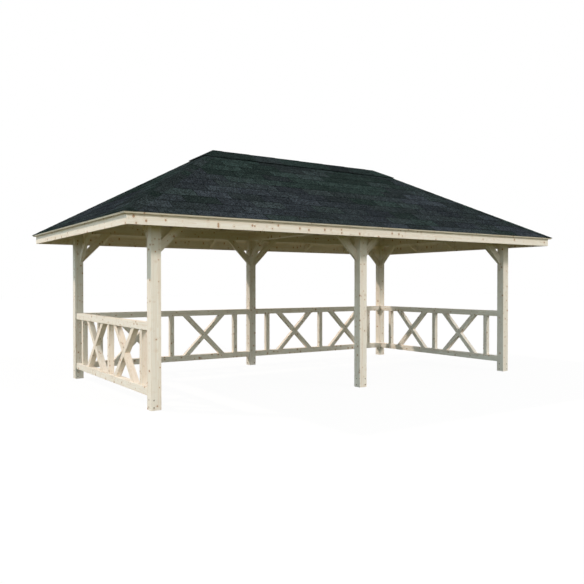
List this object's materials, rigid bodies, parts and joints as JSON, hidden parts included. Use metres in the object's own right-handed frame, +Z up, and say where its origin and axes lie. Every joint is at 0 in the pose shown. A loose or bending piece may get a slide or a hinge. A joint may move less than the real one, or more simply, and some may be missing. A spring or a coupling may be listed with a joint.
{
  "type": "garden gazebo",
  "caption": "Open rectangular garden gazebo: square timber posts with knee braces carry a hipped shingle roof, with crossed railings at the back and both ends.",
  "frame": {"origin": "middle of the plan, on the ground that the posts stand on", "axes": "+X along the long side to the right as seen from the open front, +Y from the open front to the back, +Z up"},
  "size_m": [7.086, 4.086, 3.3445],
  "materials": {
    "timber": "planed bare softwood with small knots",
    "roof_boards": "planed tongue-and-groove softwood boards",
    "shingles": "matt granule-coated bitumen in dark grey-green",
    "ridge_cap": "matt granule-coated bitumen strip"
  },
  "bodies": {
    "root": {"post_front_left": "timber", "post_front_middle": "timber", "post_front_right": "timber", "post_back_left": "timber", "post_back_middle": "timber", "post_back_right": "timber", "beam_front": "timber", "beam_back": "timber", "beam_left": "timber", "beam_right": "timber", "beam_middle": "timber", "braces_front_left": "timber", "braces_front_middle": "timber", "braces_front_right": "timber", "braces_back_left": "timber", "braces_back_middle": "timber", "braces_back_right": "timber", "railing_left": "timber", "railing_right": "timber", "railing_back_left": "timber", "railing_back_right": "timber", "ridge_beam": "timber", "hip_rafter_front_left": "timber", "hip_rafter_front_right": "timber", "hip_rafter_back_left": "timber", "hip_rafter_back_right": "timber", "rafters_front": "timber", "rafters_back": "timber", "rafters_left": "timber", "rafters_right": "timber", "fascia_front": "timber", "fascia_back": "timber", "fascia_left": "timber", "fascia_right": "timber", "boards_front": "roof_boards", "boards_back": "roof_boards", "boards_left": "roof_boards", "boards_right": "roof_boards", "shingles_front": "shingles", "shingles_back": "shingles", "shingles_left": "shingles", "shingles_right": "shingles", "ridge_cap": "ridge_cap"}
  },
  "joints": []
}
